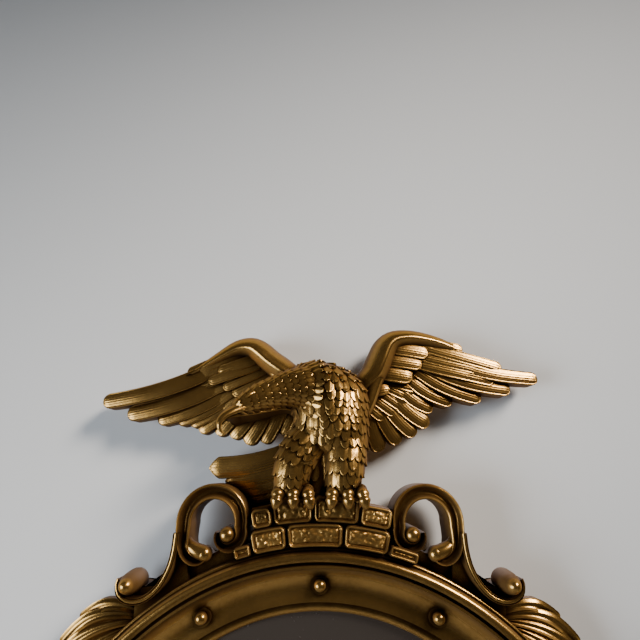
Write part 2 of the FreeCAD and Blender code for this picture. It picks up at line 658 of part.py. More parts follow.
print(len(made), "pieces")
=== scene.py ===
# %% [markdown]
# An antique gilt convex mirror, crowned by a carved eagle. The CAD frame gives the solids and
# their places. This lesson dresses them: it keeps the glass, the slip, the balls and the hardware,
# gives them finishes, and models the ring and the carvings again with the relief of the real ones.

# %% Load the frame
import math
import random

import bmesh
import bpy
import numpy as np
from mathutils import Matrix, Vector, noise
from mathutils.bvhtree import BVHTree


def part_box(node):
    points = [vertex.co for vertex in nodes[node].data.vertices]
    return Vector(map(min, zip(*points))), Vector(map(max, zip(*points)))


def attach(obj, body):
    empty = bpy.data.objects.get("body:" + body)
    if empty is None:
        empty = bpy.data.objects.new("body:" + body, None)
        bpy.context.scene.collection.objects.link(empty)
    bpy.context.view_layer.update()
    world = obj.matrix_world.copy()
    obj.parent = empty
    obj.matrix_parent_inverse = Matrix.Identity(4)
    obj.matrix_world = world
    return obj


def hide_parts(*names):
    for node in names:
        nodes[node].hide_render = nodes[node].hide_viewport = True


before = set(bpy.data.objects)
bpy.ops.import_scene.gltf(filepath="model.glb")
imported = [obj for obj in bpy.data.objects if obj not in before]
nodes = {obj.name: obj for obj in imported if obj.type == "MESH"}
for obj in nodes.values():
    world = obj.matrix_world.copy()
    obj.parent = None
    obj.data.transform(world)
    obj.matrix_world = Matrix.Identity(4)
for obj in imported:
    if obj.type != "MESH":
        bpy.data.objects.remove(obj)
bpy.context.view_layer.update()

ring_low, ring_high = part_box("ring_moulding")
RING_Z = (ring_low.z + ring_high.z) / 2
RING_R = (ring_high.x - ring_low.x) / 2 * 1000
print("ring radius", round(RING_R, 1), "mm, centre at z", round(RING_Z, 4), "m")

# %% [markdown]
# Carved shapes are easiest to describe the way they hang: X to the right, depth out from the wall
# and Z up from the ring's centre, in millimetres. One function turns such points into the frame's
# metres, so that other lines needn't think about units or signs.

# %% From hanging millimetres to the frame
MM = 0.001


def placed(points):
    points = np.asarray(points, float)
    return np.stack([points[:, 0] * MM, -points[:, 1] * MM, points[:, 2] * MM + RING_Z], axis=1)


print("the ring's centre is at", placed([(0, 0, 0)])[0].round(4), "m")

# %% [markdown]
# Shader maths reads best as plain expressions. This class wraps one socket, so that `1 - mask * 0.5`
# adds the Math nodes by itself, and `node` makes any other node from its type, settings and inputs.

# %% A small language for shaders
class Wire:
    def __init__(self, tree, socket):
        self.tree = tree
        self.socket = socket

    def math(self, operation, other, swap=False):
        a, b = (other, self) if swap else (self, other)
        return Shader(self.tree).node("ShaderNodeMath", {"operation": operation}, {0: a, 1: b})[0]

    def __add__(self, other):
        return self.math("ADD", other)

    def __sub__(self, other):
        return self.math("SUBTRACT", other)

    def __rsub__(self, other):
        return self.math("SUBTRACT", other, True)

    def __mul__(self, other):
        return self.math("MULTIPLY", other)

    __radd__ = __add__


class Shader:
    def __init__(self, tree):
        self.tree = tree

    def node(self, kind, settings=None, inputs=None):
        made = self.tree.nodes.new(kind)
        for key, value in (settings or {}).items():
            setattr(made, key, value)
        for key, value in (inputs or {}).items():
            if isinstance(value, Wire):
                self.tree.links.new(value.socket, made.inputs[key])
            else:
                made.inputs[key].default_value = value
        return [Wire(self.tree, out) for out in made.outputs]

    def ramp(self, value, low, high):
        inputs = {"Value": value, "From Min": low, "From Max": high}
        return self.node("ShaderNodeMapRange", {"clamp": True}, inputs)[0]

    def noise(self, scale, detail=4.0, rough=0.5):
        place = self.node("ShaderNodeTexCoord")[3]
        inputs = {"Vector": place, "Scale": scale, "Detail": detail, "Roughness": rough}
        return self.node("ShaderNodeTexNoise", {}, inputs)[0]

    def tint(self, factor, a, b):
        return self.node("ShaderNodeMix", {"data_type": "RGBA"}, {0: factor, 6: a, 7: b})[2]

    def surface(self, inputs):
        skin = self.node("ShaderNodeBsdfPrincipled", {}, inputs)[0]
        self.node("ShaderNodeOutputMaterial", {}, {0: skin})


def new_material(name):
    material = bpy.data.materials.new(name)
    material.use_nodes = True
    material.node_tree.nodes.clear()
    return material, Shader(material.node_tree)


# %% [markdown]
# The finish is gold leaf that has been toned: a brown glaze was wiped over it and stayed in the
# hollows, and handling rubbed the high places bright. The sides are painted browner and duller,
# partly for the thinner leaf of the returns and partly as painted shade on faces turned away from
# the front. Ambient occlusion finds the hollows, the normal finds the sides, two noises break up
# the glaze, and a fine bump keeps the leaf from looking like polished brass.

# %% Antique gilt
LEAF_GOLD = (0.58, 0.33, 0.095, 1)
TONED_GOLD = (0.19, 0.090, 0.024, 1)
SIDE_SHADE_BROWN = (0.095, 0.046, 0.016, 1)
BROWN_GLAZE = (0.022, 0.009, 0.003, 1)
EDGE_BROWN = (0.42, 0.27, 0.13, 1)
HOLLOW_REACH = 7.0
FACES_FRONT, FACES_SIDE = -0.80, -0.32


def gilt(name, glaze=1.0, gloss=0.24):
    material, s = new_material(name)
    hollow = s.node("ShaderNodeAmbientOcclusion", {"samples": 8}, {"Distance": HOLLOW_REACH * MM})[1]
    normal = s.node("ShaderNodeNewGeometry")[1]
    forward = s.node("ShaderNodeSeparateXYZ", {}, {0: normal})[1]
    # sides mask: painted shade on faces turned away from the front, partly the thinner leaf of the returns
    turned = s.ramp(forward, FACES_FRONT, FACES_SIDE)
    patches = s.noise(26.0)
    grain = s.noise(420.0, 4.0, 0.6)
    open_face = s.ramp(hollow + (patches - 0.5) * 0.30, 0.40, 0.95)
    rubbed = s.ramp(open_face + (grain - 0.5) * 0.5 + (patches - 0.5) * 0.6, 0.45, 1.15)
    toned = s.tint(rubbed, TONED_GOLD, LEAF_GOLD)
    # painted shade: the sides are tinted toward brown, and below they are made less metallic and rougher
    toned = s.tint(turned * 0.9, toned, SIDE_SHADE_BROWN)
    colour = s.tint((1 - open_face) * glaze, toned, BROWN_GLAZE)
    rough = gloss + (1 - open_face) * 0.15 + turned * 0.28 + (patches - 0.5) * 0.10
    bump = s.node("ShaderNodeBump", {}, {"Strength": 0.12, "Distance": 0.6 * MM, "Height": grain})[0]
    s.surface({
        "Base Color": colour, "Metallic": 0.94 - turned * 0.7, "Roughness": rough, "Normal": bump,
        "Specular Tint": EDGE_BROWN, "Specular IOR Level": 0.2})
    return material


GILT = gilt("antique_gilt")
print(GILT.name, "has", len(GILT.node_tree.nodes), "nodes")

# %% [markdown]
# The other finishes are plain: old silvered glass with foxing, hardboard, grey card, raw wood, zinc
# plate and black rubber. All but the glass share one function, because only it needs a pattern.

# %% Glass, board, metal and rubber
def foxed_glass():
    material, s = new_material("foxed_mirror")
    spots = s.ramp(s.noise(300.0, 5.0, 0.65), 0.60, 0.70)
    bloom = s.ramp(s.noise(34.0), 0.40, 0.75)
    colour = s.tint(spots * 0.55, (0.62, 0.55, 0.52, 1), (0.20, 0.15, 0.13, 1))
    s.surface({"Base Color": colour, "Metallic": 0.96, "Roughness": 0.05 + bloom * 0.10 + spots * 0.3})
    return material


def plain(name, colour, rough, metal=0.0, scale=80.0):
    material, s = new_material(name)
    grain = s.noise(scale)
    shade = tuple(c * 0.72 for c in colour)
    tone = s.tint(grain, (*shade, 1), (*colour, 1))
    s.surface({"Base Color": tone, "Metallic": metal, "Roughness": rough + (grain - 0.5) * 0.15})
    return material


MIRROR = foxed_glass()
HARDBOARD = plain("hardboard", (0.23, 0.13, 0.065), 0.75, scale=600.0)
GREY_CARD = plain("grey_card", (0.42, 0.40, 0.37), 0.9)
RAW_WOOD = plain("raw_wood", (0.62, 0.45, 0.27), 0.7)
ZINC = plain("zinc_plate", (0.66, 0.66, 0.64), 0.34, 1.0, 160.0)
RUBBER = plain("black_rubber", (0.035, 0.033, 0.03), 0.8)
print("plain finishes made")

# %% [markdown]
# A piece that stands for a CAD node takes its name from that node.

# %% From points to a finished piece
SHARP = math.radians(48)


def link(name, data):
    made = bpy.data.objects.new(name, data)
    bpy.context.scene.collection.objects.link(made)
    return made


def mesh_of(name, points, faces):
    mesh = bpy.data.meshes.new(name)
    mesh.from_pydata(points, [], faces)
    return mesh


def turn_outward(mesh):
    shape = bmesh.new()
    shape.from_mesh(mesh)
    bmesh.ops.recalc_face_normals(shape, faces=shape.faces)
    shape.to_mesh(mesh)
    shape.free()
    mesh.shade_smooth()


def finish_piece(made, material=GILT, stands_for=None):
    mesh = made.data
    turn_outward(mesh)
    mesh.set_sharp_from_angle(angle=SHARP)
    mesh.materials.clear()
    mesh.materials.append(material)
    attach(made, "frame")
    if stands_for:
        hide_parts(stands_for)
    print(made.name, len(mesh.polygons), "faces")


def piece(name, shape, material=GILT):
    mesh = mesh_of(name, placed(shape.points).tolist(), shape.faces)
    finish_piece(link("carved_" + name, mesh), material, name)


# %% [markdown]
# A carved piece is made of several shapes. A Carving collects their points and faces. Its skin
# joins a row of rings, which are closed loops of equally many points, and closes both ends.

# %% A carving, and a skin over rings
class Carving:
    def __init__(self):
        self.points = []
        self.faces = []

    def add(self, points, faces):
        start = len(self.points)
        self.points += [tuple(p) for p in points]
        self.faces += [tuple(i + start for i in face) for face in faces]

    def skin(self, rings):
        rings = np.asarray(rings, float)
        count, around = rings.shape[:2]
        points = rings.reshape(-1, 3).tolist()
        faces = []
        for i in range(count - 1):
            for j in range(around):
                k = (j + 1) % around
                faces.append((i * around + j, i * around + k, (i + 1) * around + k, (i + 1) * around + j))
        for i in (0, count - 1):
            points.append(rings[i].mean(axis=0).tolist())
            for j in range(around):
                faces.append((i * around + j, i * around + (j + 1) % around, len(points) - 1))
        self.add(points, faces)


# %% [markdown]
# Feathers, leaves, limbs and scrolls follow lines. A smooth line through a few points comes from a
# Catmull-Rom curve, walked at even steps. A feather's line bows to one side and arches forward, and
# each of its points has a way across the feather and a way up.

# %% Lines
def unit(vectors):
    return vectors / np.linalg.norm(vectors, axis=-1, keepdims=True)


def heading_of(points):
    return unit(np.gradient(points, axis=0))


def distances(points):
    return np.r_[0, np.cumsum(np.linalg.norm(np.diff(points, axis=0), axis=1))]


def curve(points, count):
    p = np.asarray(points, float)
    p = np.vstack([2 * p[0] - p[1], p, 2 * p[-1] - p[-2]])
    fine = []
    for i in range(1, len(p) - 2):
        a, b, c, d = p[i - 1:i + 3]
        for t in np.linspace(0, 1, 24, endpoint=False):
            point = 2 * b + (c - a) * t
            point = point + (2 * a - 5 * b + 4 * c - d) * t ** 2 + (3 * b - a - 3 * c + d) * t ** 3
            fine.append(0.5 * point)
    fine = np.array(fine + [p[-2]])
    steps = distances(fine[:, :3])
    walk = np.linspace(0, steps[-1], count)
    return np.stack([np.interp(walk, steps, column) for column in fine.T], axis=1)


def ways_along(line, roll=0.0):
    heading = heading_of(line)
    across = unit(np.cross(heading, (0.0, 1.0, 0.0)))
    up = np.cross(across, heading)
    up *= np.sign(up[:, 1:2])
    return across * math.cos(roll) + up * math.sin(roll), up * math.cos(roll) - across * math.sin(roll)


def feather_line(root, tip, bow, arch, count):
    root, tip = np.asarray(root, float), np.asarray(tip, float)
    t = 1 - (1 - np.linspace(0, 1, count)) ** 1.5
    run = tip - root
    side = unit(np.array([-run[2], 0.0, run[0]]))
    swell = np.sin(math.pi * t)
    return root + np.outer(t, run) + np.outer(swell * bow, side) + np.outer(swell * arch, (0.0, 1.0, 0.0))


print("heights of an arc:", curve([(0, 0, 0), (1, 0, 1), (2, 0, 0)], 5)[:, 2].round(2))

# %% [markdown]
# Round limbs, such as the neck, a thigh or a toe, are tubes: circles set square to a line whose
# fourth number is the radius. A ball is a tube too, with radii that follow a half circle.

# %% Tubes
def tube_rings(line, around=28):
    line = np.asarray(line, float)
    centres, radii = line[:, :3], line[:, 3]
    heading = heading_of(centres)
    steady = np.where(np.abs(heading[:, 1:2]) < 0.9, (0.0, 1.0, 0.0), (1.0, 0.0, 0.0))
    side = unit(np.cross(heading, steady))
    other = np.cross(heading, side)
    turn = np.linspace(0, 2 * math.pi, around, endpoint=False)[None, :, None]
    circle = np.cos(turn) * side[:, None] + np.sin(turn) * other[:, None]
    return centres[:, None] + circle * radii[:, None, None]


def tube(carving, points, count=24, around=28):
    carving.skin(tube_rings(curve(points, count), around))


def ball_rings(centre, radius):
    x, depth, z = centre
    turn = np.linspace(0.02, math.pi - 0.02, 13)
    line = [(x, depth - radius * math.cos(a), z, radius * math.sin(a)) for a in turn]
    return tube_rings(line, 24)


print("a ball has", len(ball_rings((0, 0, 0), 2.0)), "rings")

# %% [markdown]
# The eagle's trunk, neck and thighs flow into each other, as one carved block does. Lofted tubes
# give each limb its section, and a voxel remesh melts them into a single skin, on which the feathers
# sit. A row of the trunk is height, middle, depth and the two radii.

# %% Eagle's skin
TRUNK = [
    (252, 4, 30, 15, 7), (262, 5, 31, 23, 11), (270, 7, 34, 27, 17), (277, 8, 36, 27.5, 21),
    (284, 9.5, 36, 27, 23), (293, 8.5, 36, 28.5, 24), (306, 6.5, 36, 30.5, 25), (316, 4, 37, 31.5, 24),
    (325, 1, 38, 27, 20), (332, -2, 38.5, 19, 14), (336.5, -4, 39, 9, 7)]
NECK = [
    (-2, 40, 314, 18), (-14, 47, 315, 16), (-23.5, 51.5, 313.5, 14), (-33, 56.5, 310.2, 12),
    (-43.5, 62.5, 305.8, 10.2), (-50.5, 66.5, 301.8, 8.6), (-56, 69.8, 298.6, 6.9), (-59.5, 72, 296.2, 5)]
THIGH_LEFT = [
    (-1, 36, 286, 16), (-12, 39, 272, 15.5), (-19.5, 41, 260, 14), (-21.5, 41, 249, 12),
    (-21, 41, 238, 10.5)]
THIGH_RIGHT = [
    (16, 36, 286, 18), (19, 39, 271, 16.5), (18.5, 41, 258, 14.5), (17.5, 41, 248, 12.5),
    (17.5, 41, 238, 10.5)]
CORE_BETWEEN_LEGS = [(-2, 32, 274, 12), (-2.5, 32, 262, 11), (-3, 32, 250, 10), (-3, 31, 236, 10)]
VOXEL = 1.5


def frozen(rough, name):
    evaluated = rough.evaluated_get(bpy.context.evaluated_depsgraph_get())
    made = link(name, bpy.data.meshes.new_from_object(evaluated))
    bpy.data.objects.remove(rough)
    return made


def melted(name, shape):
    rough = link(name + "_rough", mesh_of(name, placed(shape.points).tolist(), shape.faces))
    remesh = rough.modifiers.new("melt", "REMESH")
    remesh.mode = "VOXEL"
    remesh.voxel_size = VOXEL * MM
    soften = rough.modifiers.new("soften", "SMOOTH")
    soften.factor = 0.5
    soften.iterations = 8
    return frozen(rough, "carved_" + name)


limbs = Carving()
turn = np.linspace(0, 2 * math.pi, 40, endpoint=False)
limbs.skin([
    [(x + wide * math.cos(a), depth + deep * math.sin(a), z) for a in turn]
    for z, x, depth, wide, deep in curve(TRUNK, 30)])
for limb in (NECK, THIGH_LEFT, THIGH_RIGHT, CORE_BETWEEN_LEGS):
    tube(limbs, limb)
eagle_skin = melted("eagle_body", limbs)
finish_piece(eagle_skin, GILT, "eagle_body")

# %% [markdown]
# Small feathers cover the breast, the thighs and the neck like roof tiles. Each needs a place on
# the skin, the skin's normal there and the way its tip points. Rays shot out from inside a limb
# find those places in rows that follow the limb, as a carver's rows do.

# %% Where the small feathers sit
skin_tree = BVHTree.FromObject(eagle_skin, bpy.context.evaluated_depsgraph_get())
LEAST_DEPTH, LEAST_Z = 14, 240
LIMB_POINTS = 60
ROOM_SHARE = 0.62
body_seats = []
neck_seats = []
taken = []


def placed_way(way):
    return Vector((way[0], -way[1], way[2]))


def seat(group, origin, way, flow, size, room):
    hit, normal = skin_tree.ray_cast(Vector(placed([origin])[0]), placed_way(way).normalized())[:2]
    if hit is None:
        return
    point = np.array((hit.x / MM, -hit.y / MM, (hit.z - RING_Z) / MM))
    if point[1] < LEAST_DEPTH or point[2] < LEAST_Z:
        return
    if taken and np.linalg.norm(np.array(taken) - point, axis=1).min() < room:
        return
    taken.append(point)
    group.append((hit, normal, placed_way(flow), size))


def limb_rows(group, limb, spacing, size, rows_from, rows_to, flow_sign, grow):
    line = curve(limb, LIMB_POINTS)
    rows = int(distances(line[:, :3])[-1] * abs(rows_to - rows_from) / spacing)
    heading = heading_of(line[:, :3])
    for row in range(rows):
        share = rows_from + (rows_to - rows_from) * row / max(1, rows - 1)
        i = int(share * (LIMB_POINTS - 1))
        side = unit(np.cross(heading[i], (0.3, 0.2, 1.0)))
        other = np.cross(heading[i], side)
        scale = 1 + grow * share
        around = max(6, int(2 * math.pi * line[i, 3] / (spacing * scale)))
        for k in range(around):
            a = 2 * math.pi * (k + 0.5 * (row % 2)) / around
            way = side * math.cos(a) + other * math.sin(a)
            room = spacing * scale * ROOM_SHARE
            seat(group, line[i, :3], way, heading[i] * flow_sign, size * scale, room)


limb_rows(neck_seats, NECK, 4.8, 9.8, 0.99, 0.15, -1, -0.42)
for thigh in (THIGH_LEFT, THIGH_RIGHT):
    limb_rows(body_seats, thigh, 5.8, 12.0, 0.97, 0.3, 1, -0.15)
print(len(body_seats), "thigh feathers,", len(neck_seats), "neck feathers")

# %% [markdown]
# The breast is nearly a ball, so its rows are circles round one point inside it. The top rows point
# outward and the lower ones hang down. A fixed seed shifts each feather, because carved rows are
# never quite even.

# %% Feathers of the breast
BREAST_MIDDLE = np.array((5.0, 34.0, 298.0))
BREAST_R = 32
ROW_STEP = 10.6
BREAST_GAP = 6.0
BREAST_ROOM = 4.0
DOWN = np.array((0, 0, -1.0))
chance = random.Random(7)
for row in range(16):
    from_top = math.radians(4 + row * ROW_STEP)
    around = max(5, int(2 * math.pi * BREAST_R * math.sin(from_top) / BREAST_GAP))
    falls = min(1.0, row / 6)
    for k in range(around):
        a = 2 * math.pi * (k + 0.5 * (row % 2)) / around
        a += chance.uniform(-0.05, 0.05)
        tip = from_top + chance.uniform(-0.03, 0.03)
        flat, tall = math.sin(tip), math.cos(tip)
        way = np.array((flat * math.cos(a), flat * math.sin(a), tall))
        outward = np.array((tall * math.cos(a), tall * math.sin(a), -flat))
        flow = (1 - falls) * outward + falls * DOWN
        seat(body_seats, BREAST_MIDDLE, way, flow, chance.uniform(11.6, 13.0), BREAST_ROOM)
print(len(body_seats), "feathers on the body")

# %% [markdown]
# One small feather is modelled: a domed shield with a raised tip and a sunk root. Geometry Nodes
# stand a copy on every seat, turn it by two stored directions, tip it up a little and join the
# lot. That keeps the feather a single shape that can be tuned in one place.

# %% A small feather, and the tree that lays it
def small_feather():
    shape = Carving()
    rings = []
    dome, floor, raised = 0.10, -0.09, 0.022
    for t in (0, 0.3, 0.55, 0.75, 0.88, 0.96, 1.0):
        width = 0.30 * math.sqrt(max(0.0, 1 - max(0.0, (t - 0.45) / 0.56) ** 2)) * min(1.0, 0.7 + t)
        ring = []
        for u in (1, 0.86, 0.66, 0.33, 0, -0.33, -0.66, -0.86, -1):
            rim = raised if abs(u) > 0.8 or t > 0.94 else 0.0
            ring.append((width * u, t - 0.5, 0.01 + dome * (1 - u * u) * (1 - 0.6 * t * t) + rim))
        rings.append(ring + [(-width * 0.9, t - 0.5, floor), (width * 0.9, t - 0.5, floor)])
    shape.skin(rings)
    mesh = mesh_of("small_feather", shape.points, shape.faces)
    turn_outward(mesh)
    return bpy.data.objects.new("small_feather", mesh)


def laying_tree():
    tree = bpy.data.node_groups.new("lay_feathers", "GeometryNodeTree")
    face = tree.interface
    face.new_socket("Seats", in_out="INPUT", socket_type="NodeSocketGeometry")
    sockets = {}
    for name, kind in (("Feather", "Object"), ("Lift", "Float"), ("Finish", "Material")):
        sockets[name] = face.new_socket(name, in_out="INPUT", socket_type="NodeSocket" + kind).identifier
    face.new_socket("Plumage", in_out="OUTPUT", socket_type="NodeSocketGeometry")
    g = Shader(tree)
    given = g.node("NodeGroupInput")
    stored = {}
    for name, kind in (("normal_way", "FLOAT_VECTOR"), ("flow_way", "FLOAT_VECTOR"), ("size", "FLOAT")):
        stored[name] = g.node("GeometryNodeInputNamedAttribute", {"data_type": kind}, {"Name": name})[0]
    align = "FunctionNodeAlignRotationToVector"
    turn = g.node(align, {"axis": "Z"}, {"Vector": stored["normal_way"]})[0]
    inputs = {"Rotation": turn, "Vector": stored["flow_way"]}
    turn = g.node(align, {"axis": "Y", "pivot_axis": "Z"}, inputs)[0]
    tip_up = g.node("ShaderNodeCombineXYZ", {}, {"X": given[2]})[0]
    tip_up = g.node("FunctionNodeEulerToRotation", {}, {0: tip_up})[0]
    inputs = {"Rotation": turn, "Rotate By": tip_up}
    turn = g.node("FunctionNodeRotateRotation", {"rotation_space": "LOCAL"}, inputs)[0]
    shape = g.node("GeometryNodeObjectInfo", {}, {"Object": given[1]})
    inputs = {"Points": given[0], "Instance": shape[-1], "Rotation": turn, "Scale": stored["size"]}
    laid = g.node("GeometryNodeInstanceOnPoints", {}, inputs)[0]
    laid = g.node("GeometryNodeRealizeInstances", {}, {0: laid})[0]
    laid = g.node("GeometryNodeSetMaterial", {}, {"Geometry": laid, "Material": given[3]})[0]
    g.node("NodeGroupOutput", {}, {0: laid})
    return tree, sockets


BODY_LIFT, NECK_LIFT = math.radians(13), math.radians(14)


def lay_feathers(name, places, lift):
    mesh = mesh_of(name + "_seats", [place[0] for place in places], [])
    for key, column in (("normal_way", 1), ("flow_way", 2)):
        stored = mesh.attributes.new(key, "FLOAT_VECTOR", "POINT")
        stored.data.foreach_set("vector", np.array([place[column] for place in places]).ravel())
    sizes = mesh.attributes.new("size", "FLOAT", "POINT")
    sizes.data.foreach_set("value", [place[3] * MM for place in places])
    seats = link(name + "_seats", mesh)
    tree, sockets = laying_tree()
    layer = seats.modifiers.new("lay", "NODES")
    layer.node_group = tree
    layer[sockets["Feather"]] = small_feather()
    layer[sockets["Lift"]] = lift
    layer[sockets["Finish"]] = GILT
    finish_piece(frozen(seats, name))


lay_feathers("body_plumage", body_seats, BODY_LIFT)
lay_feathers("neck_plumage", neck_seats, NECK_LIFT)

# %% [markdown]
# The head lies against the wing, so one side of it is in view. The upper beak is a loft of arched
# sections that drops into a hook. Wood below it ties the head to the wing, hollowed so that it lies
# in shadow. A rounded lip runs along its edge, and a ball under a short brow makes the eye.

# %% Beak, eye and the wood behind the head
UPPER_BEAK = [
    (-52, 67.5, 298.5, 7, 6), (-58, 71.5, 296, 5.8, 4.4), (-63, 75, 293.2, 4.8, 3.4),
    (-67, 77.6, 290, 3.8, 2.8), (-69, 79, 286, 3, 2.4), (-68.4, 79.2, 281.5, 1.9, 1.8),
    (-65, 78.4, 278, 0.5, 0.7)]
EDGE = [
    (-67.5, 77.5, 288.2), (-62, 74.5, 290.6), (-57, 71.5, 292), (-48.7, 67.5, 293.4),
    (-41.9, 64, 295.2), (-35, 60.5, 297), (-28, 57, 298.5), (-22, 53, 298)]
EDGE_SHARES = (0.7, 0.9, 1, 1, 1, 1, 0.8, 0.5)
EDGE_R = 1.3
TOP = [
    (-67.5, 77, 291.5), (-62, 74, 294), (-57, 70.5, 299), (-48.7, 66, 307),
    (-41.9, 62, 313), (-35, 58, 317.5), (-28, 54, 321), (-22, 50, 323)]
BACKING_DEPTH = 24.0
BACKING_HOLLOW = 2.5
LOOK = unit(np.array((-0.80, 0.56, -0.30)))
HEAD_SIDE = unit(np.cross(LOOK, (0.0, 0.25, 1.0)))
EYE_SPOT = np.array((-47.5, 72.5, 304.5))
EYE_R = 1.7
BROW = ((-5, 1.6, 0.9), (-1.5, 2.7, 1.5), (2.5, 2.4, 1.4), (6, 0.6, 0.6))


def hooked_beak(carving):
    line = curve(UPPER_BEAK, 36)
    heading = heading_of(line[:, :3])
    up = unit(np.cross(HEAD_SIDE, heading[0]))
    up *= math.copysign(1, up[2])
    turns = np.linspace(-0.3, math.pi + 0.3, 21)
    rings = []
    for point, way in zip(line, heading):
        up = unit(up - way * np.dot(up, way))
        ring = [point[:3] + HEAD_SIDE * point[3] * math.cos(a) + up * point[4] * math.sin(a) for a in turns]
        ring += [point[:3] + HEAD_SIDE * point[3] * s - up * 0.3 * point[4] for s in (-0.6, -0.2, 0.2, 0.6)]
        rings.append(ring)
    carving.skin(rings)


def head_backing(carving):
    rings = []
    for low, high in zip(curve(EDGE, 40), curve(TOP, 40)):
        ring = []
        for t in np.linspace(0, 1, 8):
            depth = low[1] + (BACKING_DEPTH - low[1]) * t
            ring.append((low[0], depth, low[2] + BACKING_HOLLOW * math.sin(math.pi * t)))
        rings.append(ring + [(high[0], BACKING_DEPTH, high[2] - 2), (high[0], high[1], high[2] - 2)])
    carving.skin(rings)


beak = Carving()
hooked_beak(beak)
head_backing(beak)
tube(beak, [(*point, EDGE_R * share) for point, share in zip(EDGE, EDGE_SHARES)], 40, 12)
beak.skin(ball_rings(EYE_SPOT, EYE_R))
brow = [(*(EYE_SPOT + LOOK * a + np.array((0, -0.5, b))), r) for a, b, r in BROW]
tube(beak, brow, 16, 14)
piece("eagle_head", beak)

# %% [markdown]
# A wing is carved in three layers. Long flight feathers fan out at the back, shorter coverts lie on
# their roots, and short shield feathers lie on top. A feather is listed by its root, its tip and
# half its width. The arm is the ridge of the leading edge, and the shoulder hides a dowel.

# %% Feathers of the right wing
ARM_RIGHT = [
    (20, 38, 300, 0.7), (28, 41, 311, 0.8), (36, 43, 319, 0.9), (45, 44, 328, 1), (51, 44, 340, 1),
    (56, 43, 351, 0.95), (63, 41, 356.8, 0.8), (77, 38, 358.7, 0.65), (95, 34, 356.5, 0.5),
    (110, 31, 352, 0.35)]
FLIGHT_RIGHT = [
    (88, 349, 180, 327.5, 6.4), (86, 339, 156.5, 319, 7.4), (80, 334, 132, 311.5, 7.2),
    (75, 325, 108, 308.5, 6.8), (69, 316, 92, 303, 6.8), (62, 311, 88, 290.5, 7.4),
    (54, 308, 77, 282.5, 7.4), (48, 306, 63.5, 276, 7.6), (41, 306, 48.5, 269.5, 7.4),
    (33, 305, 38, 272, 6.6)]
COVERT_RIGHT = [
    (66, 361, 119, 351, 4.8), (72, 354, 114, 347.5, 5), (72, 346, 109, 344, 5),
    (70, 340, 98.5, 338, 5.4), (88, 352, 150, 335.5, 5), (86, 344, 145, 331.5, 5),
    (84, 338, 143, 325.5, 5.6), (50, 326, 79, 319.5, 5), (46, 324, 73, 312, 5.2),
    (40, 322, 67, 304, 5.4), (33, 319, 61.5, 298.5, 5.4), (31, 311, 52, 294.5, 5.2)]
SHIELD_RIGHT = [
    (52, 352, 89, 347, 5.8), (50, 342, 83.5, 338, 6), (46, 332, 75.5, 328, 7.4),
    (28, 314, 56, 320, 6.5)]
SHOULDER_RIGHT = [(31, 34, 294, 6.0), (37, 35, 306, 6.5), (42, 36, 318, 6.0), (46, 37, 326, 5.0)]
print(len(FLIGHT_RIGHT + COVERT_RIGHT + SHIELD_RIGHT), "feathers on the right wing")

# %% [markdown]
# The left wing hangs lower and lies partly behind the neck, so it isn't a mirrored copy.

# %% Feathers of the left wing
ARM_LEFT = [
    (-14, 42, 318, 0.75), (-24, 44, 326, 0.9), (-33, 44, 332, 1), (-42, 43, 338.5, 1),
    (-50, 42, 345.5, 1), (-57, 40, 350, 0.9), (-68, 37, 349.5, 0.75), (-84, 33, 342, 0.5),
    (-106, 27, 330, 0.25)]
FLIGHT_LEFT = [
    (-82, 336.5, -177, 308.5, 7.2), (-76, 325, -156, 298.5, 7.8), (-75, 317, -131, 294, 7),
    (-74, 313, -115, 293, 6.6), (-71, 311, -104.5, 291, 6.4), (-69, 310, -97, 285.5, 6.6),
    (-63, 309, -83, 283, 7), (-52, 308, -71, 280.5, 7.4), (-43, 307, -59, 275.5, 7.6),
    (-33, 306, -46, 276.5, 7.6), (-24, 305, -32, 283.5, 7)]
COVERT_LEFT = [
    (-56, 352, -109, 330.5, 5.2), (-58, 345, -107, 325.5, 4.8), (-60, 338, -102, 321, 4.6),
    (-66, 331, -104, 318.5, 3.8), (-64, 327, -98.5, 312.5, 4.8), (-60, 323, -88.5, 305, 4.6),
    (-55, 321, -81, 302, 4.6), (-47, 320, -74, 302, 4.6)]
SHIELD_LEFT = [
    (-50, 342, -83, 331.5, 4.8), (-49, 336, -90, 323.5, 4.2), (-44, 332, -78, 318.5, 4.2),
    (-38, 329, -70, 313.5, 4.4), (-32, 326, -62, 310.5, 4.6)]
SHOULDER_LEFT = [(-18, 33, 308, 5.0), (-30, 33, 323, 5.0), (-38, 33, 333, 5.0), (-41, 33, 337, 3.5)]
print(len(FLIGHT_LEFT + COVERT_LEFT + SHIELD_LEFT), "feathers on the left wing")

# %% [markdown]
# A long feather is a plume: a strip with a domed front, a raised rim, fine barbs and straight sides.
# The distance from its edge decides the height, so the rim also runs round the tip. A lower power
# makes the tip more pointed.

# %% One long feather
RIM = 0.40
BARB = 0.06
BARB_GAP = 1.9


